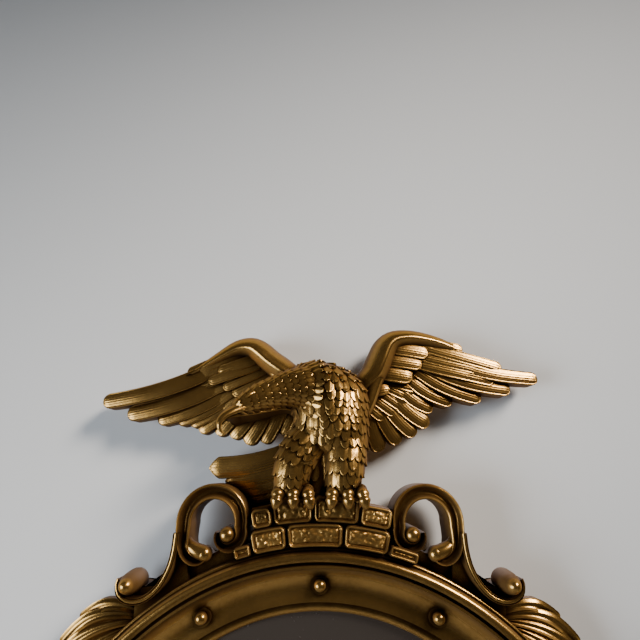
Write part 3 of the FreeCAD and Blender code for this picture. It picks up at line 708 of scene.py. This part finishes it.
def plume(carving, line, half, dome, floor, roll, taper=0.0, power=2.0):
    walked = distances(line)
    across, up = ways_along(line, roll)
    u = np.r_[-1, -0.965, np.linspace(-0.92, 0.92, 29), 0.965, 1]
    rings = []
    for i, far in enumerate(walked):
        left = walked[-1] - far
        share = far / walked[-1]
        wide = half * min(1.0, 0.85 + 0.6 * share) * (1 - taper * share)
        short = max(0.0, 1 - left / (half * (1 - taper)))
        wide *= max(0.0001, 1 - short ** power) ** (1 / power)
        from_tip = 1 - (np.abs(u * wide / half) ** power + short ** power) ** (1 / power)
        edge = np.minimum(1 - np.abs(u), from_tip) * half
        barbs = BARB * np.cos(u * wide * 2 * math.pi / BARB_GAP) * np.clip((edge - 1.0) / 1.5, 0, 1)
        rim = RIM * np.exp(-((edge - 0.5) / 0.4) ** 2)
        crown = dome * (1 - (1 - np.clip(edge / half, 0, 1)) ** 2) + rim + barbs
        front = line[i] + np.outer(u * wide, across[i]) + np.outer(crown, up[i])
        back = line[i] + np.outer(u[::-16] * wide * 0.94, across[i])
        back[:, 1] = np.minimum(floor, line[i][1] - 1.0)
        rings.append(np.vstack([front, back]))
    carving.skin(rings)


print("barbs are", BARB_GAP, "mm apart")

# %% [markdown]
# Upper feathers lie in front of lower ones, so each is set back a little and rolled, with its lower
# edge forward. A layer lists the depth of roots and tips, the step back, the depth below and its
# share of the wing's sag. The arm is one section carried along its line, and a board behind the
# feathers closes the gaps.

# %% Both wings
LAYERS = ((27.0, 21.0, 0.45, 8.0, 1.0), (30.0, 25.0, 0.25, 19.0, 0.1), (33.5, 30.0, 0.3, 24.0, 0.0))
TILT = 0.10
DOME, TAPER, ARCH = 0.15, 0.15, 0.03
ARM_SECTION = [
    (13.2, -36), (13.2, -20), (12.4, -13.5), (10.4, -8.4), (7.4, -4.6), (4.2, -1.8), (1.8, -0.4),
    (0.4, 0), (-1, -0.3), (-2.6, -1.8), (-4.6, -4.6), (-6.6, -8), (-8, -11), (-8, -36)]
ARM_BACK, BOARD_BACK = 8, 8.5
BOARD_ARM, BOARD_MIDDLE, BOARD_END = 30, 25.5, 20


def arm_ridge(shape, arm, side):
    rings = []
    line = curve(arm, 44)
    heading = heading_of(line[:, (0, 2)])
    for (x, depth, z, scale), (ux, uz) in zip(line, heading):
        section = [(s * scale, max(depth + d * scale, ARM_BACK)) for s, d in ARM_SECTION]
        rings.append([(x - side * uz * s, d, z + side * ux * s) for s, d in section])
    shape.skin(rings)


def wing_board(shape, arm, flight):
    rings = []
    for feather, place in zip(flight, curve(arm, len(flight))[::-1]):
        root, tip = np.array(feather[:2]), np.array(feather[2:4])
        start, middle, end = (place[0], place[2]), root + 0.2 * (tip - root), root + 0.8 * (tip - root)
        spots = [(start, BOARD_ARM), (middle, BOARD_MIDDLE), (end, BOARD_END)]
        spots += [(end, BOARD_BACK), (start, BOARD_BACK)]
        rings.append([(x, depth, z) for (x, z), depth in spots])
    shape.skin(rings)


def wing(name, arm, shoulder, sag, layers):
    shape = Carving()
    side = math.copysign(1.0, arm[-1][0])
    for (root_depth, tip_depth, step_back, floor, bend), feathers in zip(LAYERS, layers):
        for k, (x, z, tip_x, tip_z, half) in enumerate(feathers):
            start = (x, root_depth - step_back * k, z)
            end = (tip_x, tip_depth - step_back * k * 0.5, tip_z)
            length = math.dist((x, z), (tip_x, tip_z))
            line = feather_line(start, end, -side * sag * bend * length, ARCH * length, 28)
            plume(shape, line, half, DOME * half, floor, -side * TILT, TAPER * bend)
    wing_board(shape, arm, layers[0])
    tube(shape, shoulder)
    arm_ridge(shape, arm, side)
    piece(name, shape)


wing("wing_right", ARM_RIGHT, SHOULDER_RIGHT, 0.06, (FLIGHT_RIGHT, COVERT_RIGHT, SHIELD_RIGHT))
wing("wing_left", ARM_LEFT, SHOULDER_LEFT, 0.05, (FLIGHT_LEFT, COVERT_LEFT, SHIELD_LEFT))

# %% [markdown]
# The tail is a fan of long, nearly parallel feathers that shows on the left, behind the leg. They
# are plumes like those of the wings, with pointed tips.

# %% Tail
TAIL = [
    (-12, 273, -87, 257, 8.4), (-11, 263, -74, 247, 7), (-12, 256, -66, 240, 7),
    (-12, 249, -58, 233, 7), (-12, 243, -50, 227, 7)]
TAIL_STEP = 0.8
TAIL_DOME = 0.16
POINTED = 1.25
tail = Carving()
for k, (x, z, tip_x, tip_z, half) in enumerate(TAIL):
    line = feather_line((x, 27 - TAIL_STEP * k, z), (tip_x, 21 - TAIL_STEP * k, tip_z), 4.6, 1.0, 28)
    plume(tail, line, half, TAIL_DOME * half, 9.0, -TILT, 0.0, POINTED)
piece("tail_fan", tail)

# %% [markdown]
# A foot is a bundle of toes. A toe is a tube that swells at each knuckle, curls over the rock and
# ends in a claw, and a short bar ties the toes together.

# %% Feet
FEET = {"talons_left": (-21, (-30.5, -19, -8)), "talons_right": (17, (8.5, 20, 31))}
SPLAY = 0.035
TOE = [
    (40, 240, 4), (44.5, 241, 4.9), (47.6, 240.2, 4.2), (50, 238.4, 4.9), (51.2, 236.2, 3.9),
    (52, 234.2, 4.5), (52.4, 232.2, 3.4), (51.8, 230.2, 2.3), (49.8, 228.2, 0.6)]


def foot(name, ankle, toes):
    shape = Carving()
    for x in toes:
        splay = (x - ankle) * SPLAY
        tube(shape, [(x + splay * (k - 4), depth, z, r) for k, (depth, z, r) in enumerate(TOE)], 40, 20)
    tube(shape, [(toes[0], 43, 238, 4.2), (ankle, 44, 239, 5.4), (toes[-1], 43, 238, 4.2)], 24, 20)
    piece(name, shape)


for name, (ankle, toes) in FEET.items():
    foot(name, ankle, toes)

# %% [markdown]
# The eagle stands on a rock built of two courses of cut stones. Every stone has a rounded border
# and a rough, sunk middle, so it is a height map: the distance from the stone's own edge decides
# the height, and noise roughens the middle.

# %% One stone
CORE_DEPTH = 36.0
STONE_DEPTH = 45.0
CORNER_R = 4.2
ROUND_OVER = 1.2
BORDER = 1.7
PANEL = 3.2
SINK = 1.7
PILLOW = ROUGHNESS = 0.9


def around_ring(angle, radius, depth):
    turn = math.radians(angle)
    return (radius * math.sin(turn), depth, radius * math.cos(turn))


def step(value, start):
    share = min(1.0, max(0.0, value - start))
    return share * share * (3 - 2 * share)


def stone(carving, low, high, inner, outer):
    across, tall = 48, 32
    half_x = math.radians(high - low) * (inner + outer) / 4
    half_y = (outer - inner) / 2
    corner = min(CORNER_R, half_x * 0.6, half_y * 0.6)
    front, back = [], []
    for j in range(tall):
        for i in range(across):
            p, q = -math.cos(math.pi * i / (across - 1)), -math.cos(math.pi * j / (tall - 1))
            x, y = abs(p) * half_x - half_x + corner, abs(q) * half_y - half_y + corner
            edge = corner - math.hypot(max(x, 0), max(y, 0)) - min(max(x, y), 0)
            rounded = 1 - max(0.0, 1 - max(edge, 0) / ROUND_OVER) ** 2
            panel = step(edge, PANEL)
            angle, radius = (low + high) / 2 + p * (high - low) / 2, (inner + outer) / 2 + q * half_y
            spot = Vector((angle * 1.7, radius * 0.45, 3.7))
            rough = (noise.noise(spot) + 0.7 * noise.noise(spot * 2.3)) * ROUGHNESS * panel
            depth = CORE_DEPTH - 1 + (STONE_DEPTH - CORE_DEPTH + 1) * rounded ** 0.5
            depth = depth - SINK * step(edge, BORDER) + PILLOW * panel + rough
            front.append(around_ring(angle, radius, depth))
            back.append(around_ring(angle, radius, CORE_DEPTH - 4))
    faces = []
    for j in range(tall - 1):
        for i in range(across - 1):
            a = j * across + i
            quad = (a, a + 1, a + 1 + across, a + across)
            faces += [quad, tuple(k + across * tall for k in quad[::-1])]
    border = list(range(across)) + [j * across + across - 1 for j in range(1, tall)]
    border += [(tall - 1) * across + i for i in range(across - 2, -1, -1)]
    border += [j * across for j in range(tall - 2, 0, -1)]
    for a, b in zip(border, border[1:] + border[:1]):
        faces.append((a, b, b + across * tall, a + across * tall))
    carving.add(front + back, faces)


print("a stone's border:", PANEL, "mm")

# %% [markdown]
# A stone is listed by its two angles and its top, and a core behind each course fills the joints.
# The rock's gilt is rubbed, with less glaze and less gloss.

# %% Rock plinth
LOWER_STONES = [
    (-17, -13.55, 211.5), (-13.3, -6.55, 219.1), (-6.3, 4.45, 219.2), (4.7, 13.5, 219.1),
    (13.75, 19.5, 211)]
UPPER_STONES = [(-12.6, -8.75, 233.0), (-8.5, -1.35, 237.5), (-1.1, 7.2, 238.0), (7.45, 13.2, 234.0)]
COURSE_R = 219.2
CORE_BACK = 6


def core(carving, low, high, inner, outer):
    section = [(inner, CORE_BACK), (inner, CORE_DEPTH), (outer - 2, CORE_DEPTH)]
    section += [(outer, CORE_DEPTH - 2), (outer, CORE_BACK)]
    rings = []
    for angle in np.linspace(low, high, 24):
        rings.append([around_ring(angle, radius, depth) for radius, depth in section])
    carving.skin(rings)


rock = Carving()
for low, high, top in LOWER_STONES:
    stone(rock, low, high, RING_R + 0.1, top)
for low, high, top in UPPER_STONES:
    stone(rock, low, high, COURSE_R, top)
core(rock, -16.5, 19.0, RING_R + 0.1, 212)
core(rock, -12.4, 13.0, RING_R + 2, 234)
RUBBED_GILT = gilt("rubbed_gilt", 0.45, 0.36)
piece("rock_plinth", rock, RUBBED_GILT)

# %% [markdown]
# On each side a C-scroll rises from the ring, and an S-shaped stem leaves it. Both are ribbons: one
# hollow section with a rim on each edge, carried along a line. The right side mirrors the left.

# %% A ribbon with a hollow front
SCROLL_BACK, SCROLL_FRONT = 8.0, 42.0
HALF_RIBBON = [
    (1, 0.1), (1, 0.88), (0.97, 0.95), (0.88, 0.99), (0.78, 1), (0.68, 0.985), (0.56, 0.93),
    (0.38, 0.88), (0.18, 0.86)]
RIBBON = [(-s, d) for s, d in HALF_RIBBON] + [(0, 0.855)] + HALF_RIBBON[::-1]


def ribbon(carving, line, halves):
    heading = heading_of(line)
    rings = []
    for (x, z), (ux, uz), half in zip(line, heading, halves):
        depths = [SCROLL_BACK + (SCROLL_FRONT - SCROLL_BACK) * d for _, d in RIBBON]
        rings.append([(x - uz * half * s, d, z + ux * half * s) for (s, _), d in zip(RIBBON, depths)])
    carving.skin(rings)


def slab(carving, outline, front):
    carving.skin([[(x, d, z) for x, z in outline] for d in (SCROLL_BACK, front)])


def both_sides(name, shape):
    piece(name + "_left", shape)
    shape.points = [(-x, depth, z) for x, depth, z in shape.points]
    piece(name + "_right", shape)


print("a ribbon's section has", len(RIBBON), "points")

# %% [markdown]
# The C starts as a hook with a plump fold and a knob, goes round a circle and winds in to a ball,
# the eye. Its line is drawn in those three parts. A flat foot ties the scroll to the ring.

# %% C-scrolls
SCROLL_X, SCROLL_Z, SCROLL_R = -77.5, 219.5, 20.8
EYE_X, EYE_Z = -66.5, 211.0
EYE_BALL_R, EYE_POST_R = 5.6, 5.4
HOOK = [
    (-82, 198.4), (-85.4, 194.9), (-90.6, 194.6), (-95.4, 198.4), (-97.8, 204.6),
    (-98.4, 211.5), (-98.27, 218.4)]
KNOB = (-82.2, 38.0, 198.6)
KNOB_R = 5.6
FOLD = [(-95.5, 36, 208, 2.6), (-93, 37, 203.8, 4.2), (-88, 38, 200.6, 5.0), (-82.2, 38, 198.6, 5.4)]
SCROLL_FOOT = [(-98, 204), (-88, 192), (-66, 203), (-58, 206), (-61, 192.5), (-95, 177.8)]
FOOT_FRONT = 24


def scroll_line():
    line = list(curve(HOOK, 34)[:-1])
    for a in np.radians(np.linspace(183, -10, 50)):
        line.append((SCROLL_X + SCROLL_R * math.cos(a), SCROLL_Z + SCROLL_R * math.sin(a)))
    start = math.atan2(line[-1][1] - EYE_Z, line[-1][0] - EYE_X)
    reach = math.hypot(line[-1][1] - EYE_Z, line[-1][0] - EYE_X)
    for t in np.linspace(0, 1, 45)[1:]:
        a = start + (math.radians(-190) - start) * t
        r = reach + (6.6 - reach) * t
        line.append((EYE_X + r * math.cos(a), EYE_Z + r * math.sin(a)))
    return np.array(line)


scroll = Carving()
line = scroll_line()
halves = np.interp(np.linspace(0, 1, len(line)), (0, 0.12, 0.25, 0.55, 1), (3.4, 4.0, 5.6, 5.6, 2.4))
ribbon(scroll, line, halves)
scroll.skin(ball_rings((EYE_X, SCROLL_FRONT - 3, EYE_Z), EYE_BALL_R))
post = [(EYE_X, d, EYE_Z, EYE_POST_R) for d in np.linspace(SCROLL_BACK, SCROLL_FRONT - 3, 6)]
scroll.skin(tube_rings(post))
scroll.skin(ball_rings(KNOB, KNOB_R))
tube(scroll, FOLD)
slab(scroll, SCROLL_FOOT, FOOT_FRONT)
both_sides("scroll", scroll)

# %% [markdown]
# The stem is a narrower ribbon with a lip on its front. It cups a round roll that stands forward. A
# web fills the space to the ring, a dish closes the cup, and a boss hides the dowel.

# %% S-stems
STEM_LINE = [
    (-102.6, 212), (-103.4, 200), (-106, 189), (-112, 178), (-121, 170.5), (-131, 169), (-138, 172.5),
    (-140.8, 178.5), (-140, 183)]
STEM_POINTS = 70
STEM_WEB = [
    (-101, 206), (-104, 190), (-111, 178), (-121, 171.5), (-131, 170), (-130.5, 154.5), (-111, 167.5),
    (-94, 177.8), (-97, 196)]
DISH = [
    (-139, 179), (-132, 178), (-124, 176.5), (-116, 177.5), (-111, 182), (-106, 189), (-112, 178),
    (-121, 170.5), (-131, 169), (-138, 173)]
WEB_FRONT, DISH_FRONT = 30, 34
STEM_BOSS = [
    (-113.5, 20, 168.3, 4.4), (-117, 20, 173.5, 4.4), (-119.9, 20, 177.8, 4.4), (-120.6, 20, 178.8, 2.5)]
ROLL = [(18, 5.0), (20, 7.0), (24, 8.0), (32, 7.8), (40, 7.0), (44, 6.0), (48, 4.6), (50.4, 2.4), (51.2, 0.4)]
ROLL_X, ROLL_Z = -132.6, 179.6
LIP_R = 1.4
stem = Carving()
line = curve(STEM_LINE, STEM_POINTS)
ribbon(stem, line, np.interp(np.arange(STEM_POINTS), (0, 58, 69), (2.4, 2.4, 0.8)))
tube(stem, [(x, SCROLL_FRONT - 1.0, z, LIP_R) for x, z in line])
turned = curve([(*at, 0) for at in ROLL], 24)[:, :2]
stem.skin(tube_rings([(ROLL_X, depth, ROLL_Z, r) for depth, r in turned]))
tube(stem, STEM_BOSS)
slab(stem, STEM_WEB, WEB_FRONT)
slab(stem, DISH, DISH_FRONT)
both_sides("stem", stem)

# %% [markdown]
# Acanthus leaves are fans of lobes that start at one root and arch forward. A lobe is a strip that
# swells along its line and closes to a rounded end. Flutes, a rim and a spine shape its front.

# %% One lobe of a leaf
LOBE_HALF, LOBE_RISE, LOBE_EDGE = 8.0, 2.6, 7.0
FLUTE, LOBE_RIM, LOBE_ROOT = 0.7, 0.5, 0.5


def lobe(carving, line, flutes, blunt, spine):
    across, up = ways_along(line)
    u = np.linspace(-1, 1, 15)
    rings = []
    for i, t in enumerate(np.linspace(0, 1, len(line))):
        closing = max(0.0, (t - blunt) / (1 - blunt))
        share = min(1.0, LOBE_ROOT + (1 - LOBE_ROOT) * t * 2.2) * math.sqrt(max(0.004, 1 - closing ** 2))
        crown = LOBE_RISE * (1 - u ** 2) + FLUTE * np.cos(flutes * math.pi * u) * (1 - u ** 4)
        crown += LOBE_RIM * np.exp(-((1 - np.abs(u)) / 0.14) ** 2) + spine * np.exp(-(u / 0.1) ** 2)
        crown *= min(1.0, 0.35 + 0.65 * share)
        front = line[i] + np.outer(u * LOBE_HALF * share, across[i]) + np.outer(crown, up[i])
        back = line[i] + np.outer(u[::-7] * LOBE_HALF * share * 0.96, across[i]) - up[i] * LOBE_EDGE
        rings.append(np.vstack([front, back]))
    carving.skin(rings)


print("a lobe's width:", 2 * LOBE_HALF, "mm")

# %% [markdown]
# A spray hangs beside each stem, and a boss hides its dowel. Three leaves hang under the ring,
# listed as turn and length of each lobe, with a boss where the lobes meet.

# %% Acanthus leaves
SPRAY_ROOT = (-127, 25, 157)
SPRAY = [((-170, 149), 8), ((-181, 134), 10), ((-187, 118), 9), ((-189, 104), 7), ((-187, 92), 4)]
LEAF_BOSS = [
    (-128.6, 20, 147.9, 5.2), (-135.1, 20, 155.5, 5.4), (-139.7, 20, 160.8, 5.4), (-142, 20, 163.4, 4.2),
    (-143, 20, 164.5, 1)]
APRON = [(-54, 44), (-36, 58), (-18, 69.5), (0, 77), (18, 69.5), (36, 58), (54, 44)]
APRON_SIDE = [(-34, 46), (-16, 58), (2, 62), (20, 52), (38, 40)]
APRON_BOSS = ((9, 14), (18, 14), (25, 11.5), (30, 8), (32.5, 3))


def leaf(angle, lean, lobes):
    shape = Carving()
    root = np.array(around_ring(angle, RING_R - 4, 25))
    middle = (len(lobes) - 1) / 2
    for k, (turn, length) in enumerate(lobes):
        out = math.radians(angle + lean + turn)
        start = root + (0, 2 - abs(k - middle), 0)
        tip = root + np.array((length * math.sin(out), -7.0, length * math.cos(out)))
        line = feather_line(start, tip, 0.10 * length * math.sin(math.radians(turn)), 5.0, 26)
        lobe(shape, line, 2, 0.72, 0.9)
    shape.skin(tube_rings([(root[0], depth, root[2], r) for depth, r in APRON_BOSS]))
    return shape


def spray():
    shape = Carving()
    tube(shape, LEAF_BOSS)
    for k, (tip, bow) in enumerate(SPRAY):
        root = (SPRAY_ROOT[0], SPRAY_ROOT[1] + 0.8 * k, SPRAY_ROOT[2] - 2 * k)
        line = feather_line(root, (tip[0], 18 + 0.8 * k, tip[1]), -bow, 4.0, 30)
        lobe(shape, line, 3, 0.80, 0.6)
    return shape


both_sides("leaf_spray", spray())
both_sides("apron_leaf", leaf(-157.0, 42.0, [(-turn, length) for turn, length in APRON_SIDE]))
piece("apron_leaf_centre", leaf(180.0, 0.0, APRON))

# %% [markdown]
# The round frame is turned on a lathe, so it is made the same way: half a section, carried round
# the glass's axis in small steps. From the outside in, the section has a thin reed, a broad
# half-round, a deep groove, a fillet and the hollow cove.

# %% Round frame
def bulge(a, b, height, count):
    a, b = np.array(a, float), np.array(b, float)
    t = np.linspace(0, 1, count)
    normal = np.array((a[1] - b[1], b[0] - a[0])) / math.dist(a, b)
    return [tuple(a + (b - a) * s + normal * height * math.sin(math.pi * s) ** 0.75) for s in t]


def arc_through(a, b, c, count):
    a, b, c = (complex(*point) for point in (a, b, c))
    w = (c - a) / (b - a)
    middle = (b - a) * (w - abs(w) ** 2) / (2j * w.imag) + a
    radius = abs(a - middle)
    start, end = np.angle(a - middle), np.angle(c - middle)
    through = np.angle(b - middle)
    if not min(start, end) < through < max(start, end):
        end += math.copysign(2 * math.pi, start - end)
    turns = np.linspace(start, end, count)
    return [(middle.real + radius * math.cos(t), middle.imag + radius * math.sin(t)) for t in turns]


RING_SECTION = (
    [(166, 9), (166, 29), (169, 29)] + arc_through((169, 29), (181.5, 31), (190, 44), 24)[1:]
    + [(191.6, 44), (191.9, 40), (193.7, 40)] + bulge((193.8, 43.0), (200.4, 39.8), 2.3, 14)
    + bulge((200.6, 39.2), (203, 37.6), 1.0, 8) + [(203, 6), (176.5, 6), (176.5, 9)])
TURNING_STEPS = 300
wide = len(RING_SECTION)
ring = Carving()
for i in range(TURNING_STEPS):
    ring.points += [around_ring(360 * i / TURNING_STEPS, radius, depth) for radius, depth in RING_SECTION]
    for j in range(wide):
        k, n = (j + 1) % wide, (i + 1) % TURNING_STEPS
        ring.faces.append((i * wide + j, i * wide + k, n * wide + k, n * wide + j))
piece("ring_moulding", ring)

# %% [markdown]
# The slip, the balls, the glass and the hardware are right as they come from CAD. They only need
# their finishes. What isn't named here is gilt.

# %% Finishes on the CAD pieces
FINISHES = {
    "convex_glass": MIRROR, "glass_spacer": GREY_CARD, "back_board": HARDBOARD, "bumper_left": RUBBER,
    "bumper_right": RUBBER, "hanger_plate": ZINC, "hanger_ring": ZINC, "hanger_screws": ZINC}
for name, node in nodes.items():
    finish = FINISHES.get(name, GILT)
    if name.endswith("_dowels"):
        finish = RAW_WOOD
    if name.startswith("turn_button"):
        finish = ZINC
    node.data.materials.clear()
    node.data.materials.append(finish)
print(len(nodes), "CAD nodes have their finish")

# %% [markdown]
# The mirror hangs on a pale backdrop, well above a pale floor. The backdrop is clear from behind and
# casts no shadow, so the back of the mirror can be looked at and lit.

# %% Backdrop and floor
WALL_Y, WALL_TOP = 0.001, 2.2
FLOOR_Z = -1.6
REACH = 3


def backdrop_material():
    material, s = new_material("pale_backdrop")
    skin = s.node("ShaderNodeBsdfPrincipled", {}, {"Base Color": (0.80, 0.80, 0.82, 1), "Roughness": 0.85})[0]
    clear = s.node("ShaderNodeBsdfTransparent")[0]
    behind = s.node("ShaderNodeNewGeometry")[6]
    mixed = s.node("ShaderNodeMixShader", {}, {0: behind, 1: skin, 2: clear})[0]
    s.node("ShaderNodeOutputMaterial", {}, {0: mixed})
    return material


def sheet(name, corners, material):
    made = link(name, mesh_of(name, corners, [(0, 1, 2, 3)]))
    made.data.materials.append(material)
    return made


sides = ((-1, -1), (1, -1), (1, 1), (-1, 1))
pale = plain("pale_floor", (0.72, 0.71, 0.70), 0.8, scale=3.0)
upright = [(REACH * x, WALL_Y, WALL_TOP if z > 0 else FLOOR_Z) for x, z in sides]
wall = sheet("backdrop", upright, backdrop_material())
wall.visible_shadow = False
sheet("floor", [(REACH * x, REACH * y, FLOOR_Z) for x, y in sides], pale)
print("backdrop and floor made")

# %% [markdown]
# A small warm key light from the upper right draws the edges of the feathers. A wide cool window
# lights them from the lower left. One light is for the back and one for the floor, and the room
# adds a faint warm glow.

# %% Light
def softbox(name, place, target, size, power, colour=(1, 1, 1), spread=180):
    light = bpy.data.lights.new(name, "AREA")
    light.shape = "RECTANGLE"
    light.size = light.size_y = size
    light.energy = power
    light.color = colour
    light.spread = math.radians(spread)
    made = link(name, light)
    made.location = place
    made.rotation_euler = (Vector(target) - Vector(place)).to_track_quat("-Z", "Y").to_euler()
    print(name, "gives", power, "W")


softbox("key", (1.2, -1.0, 1.05), (-0.05, 0, 0.02), 0.6, 2.1, (1.0, 0.92, 0.80), 30)
softbox("window", (-1.8, -0.8, -0.7), (-0.5, 0, -0.5), 1.8, 12, (0.82, 0.92, 1.0), 56)
softbox("behind", (0.3, 1.4, 0.6), (0, 0, -0.1), 1.0, 14)
softbox("floor_light", (0, 0, -0.85), (0, 0, FLOOR_Z), 3.0, 5.5, spread=90)
world = bpy.data.worlds.new("studio")
world.use_nodes = True
glow = world.node_tree.nodes["Background"].inputs
glow[0].default_value = (0.85, 0.70, 0.55, 1)
glow[1].default_value = 0.045
bpy.context.scene.world = world

# %% [markdown]
# The camera stands close and looks up at the eagle, as the photograph does. Its short lens gives
# the same strong perspective.

# %% Camera
camera = bpy.data.cameras.new("camera")
camera.sensor_width = 36.0
camera.lens = 27.06
viewer = link("camera", camera)
viewer.location = (0.0, -0.415, 0.0313)
viewer.rotation_euler = (math.radians(108.08), 0, 0)
bpy.context.scene.camera = viewer
print("camera at", viewer.location[:], "with a lens of", camera.lens, "mm")
